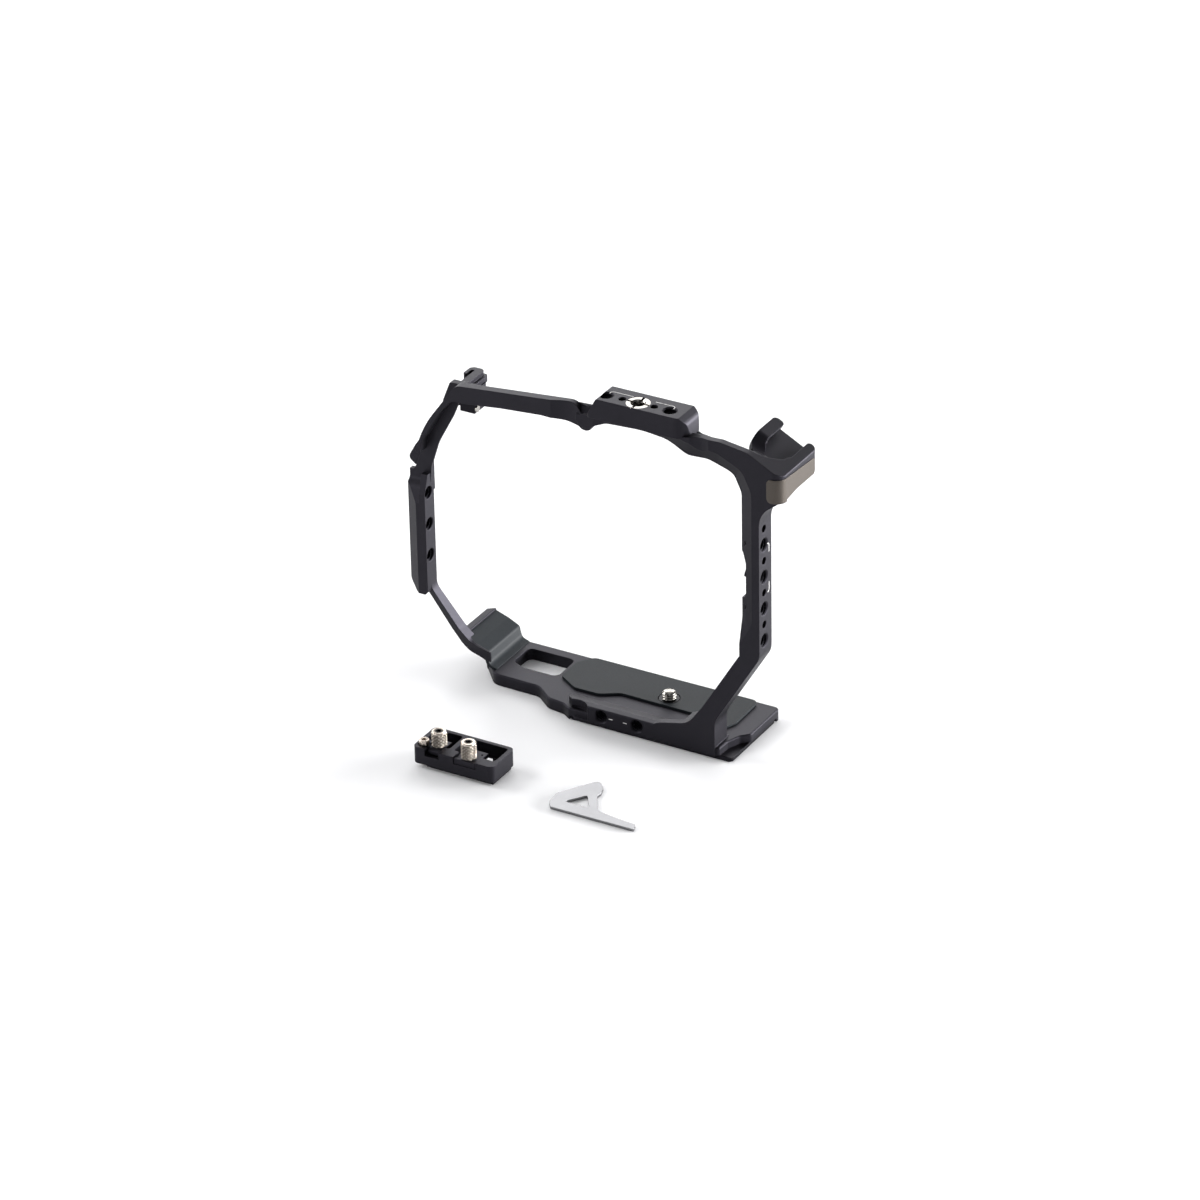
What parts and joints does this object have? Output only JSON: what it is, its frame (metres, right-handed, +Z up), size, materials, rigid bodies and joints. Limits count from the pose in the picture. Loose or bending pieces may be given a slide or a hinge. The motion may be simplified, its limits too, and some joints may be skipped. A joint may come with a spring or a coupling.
{
  "type": "camera cage",
  "caption": "Open camera cage with a cold shoe, threaded holes, a padded base with a captive camera screw and a strap hook; a cable clamp with thumbscrew knobs and a flat key lie in front.",
  "frame": {"origin": "axis of the camera screw, at the level of the surface that the cage stands on", "axes": "+Z up, +X to the cold-shoe side, +Y to the back of the camera"},
  "size_m": [0.1868, 0.113, 0.16],
  "materials": {
    "anodised_black": "bead-blasted, black anodised",
    "anodised_dark": "milled, black anodised",
    "bare_plate": "blasted, taupe anodised",
    "rubber_grey": "matte",
    "stainless": "turned, bright",
    "nickel_knurl": "knurled, satin nickel",
    "magnet_nickel": "nickel plated",
    "steel_key": "tumbled, satin",
    "steel_black": "black oxide"
  },
  "bodies": {
    "cage": {"cage_frame": "anodised_black", "corner_plate": "bare_plate", "top_insert": "stainless", "base_pad": "rubber_grey", "corner_pad": "rubber_grey", "foot_plate": "anodised_dark", "foot_screws": "anodised_dark", "key_magnets": "magnet_nickel", "strap_hook": "anodised_black", "hook_clamp": "anodised_dark", "hook_screw": "stainless"},
    "camera_screw_set": {"camera_screw": "stainless", "screw_clip": "steel_black"},
    "cable_clamp": {"clamp_body": "anodised_black", "clamp_foot": "anodised_dark", "clamp_foot_screws": "anodised_dark"},
    "clamp_screw_set": {"clamp_screw": "nickel_knurl", "clamp_screw_ring": "stainless"},
    "usb_jaw_set": {"usb_jaw": "anodised_black", "usb_nut": "stainless"},
    "usb_knob_set": {"usb_knob": "nickel_knurl"},
    "hdmi_jaw_set": {"hdmi_jaw": "anodised_black", "hdmi_nut": "stainless"},
    "hdmi_knob_set": {"hdmi_knob": "nickel_knurl"},
    "flat_key": {"key": "steel_key"}
  },
  "joints": [
    {"name": "camera_screw_spin", "type": "hinge", "parent": "cage", "child": "camera_screw_set", "pos_m": [0, 0, 0], "axis": [0, 0, 1], "continuous": true},
    {"name": "clamp_lift", "type": "slide", "parent": "cage", "child": "cable_clamp", "axis": [0, 0, 1], "range_m": [0, 0.06]},
    {"name": "clamp_screw_spin", "type": "hinge", "parent": "cable_clamp", "child": "clamp_screw_set", "pos_m": [-0.0704, -0.0886, 0], "axis": [0, 0, 1], "continuous": true},
    {"name": "usb_jaw_slide", "type": "slide", "parent": "cable_clamp", "child": "usb_jaw_set", "axis": [0, 1, 0], "range_m": [-0.0022, 0.003]},
    {"name": "usb_knob_spin", "type": "hinge", "parent": "usb_jaw_set", "child": "usb_knob_set", "pos_m": [-0.0644, -0.086, 0], "axis": [0, 0, 1], "continuous": true},
    {"name": "hdmi_jaw_slide", "type": "slide", "parent": "cable_clamp", "child": "hdmi_jaw_set", "axis": [0, 1, 0], "range_m": [0, 0.004]},
    {"name": "hdmi_knob_spin", "type": "hinge", "parent": "hdmi_jaw_set", "child": "hdmi_knob_set", "pos_m": [-0.0482, -0.0886, 0], "axis": [0, 0, 1], "continuous": true},
    {"name": "key_lift", "type": "slide", "parent": "cage", "child": "flat_key", "axis": [0, 0, 1], "range_m": [0, 0.06]}
  ]
}
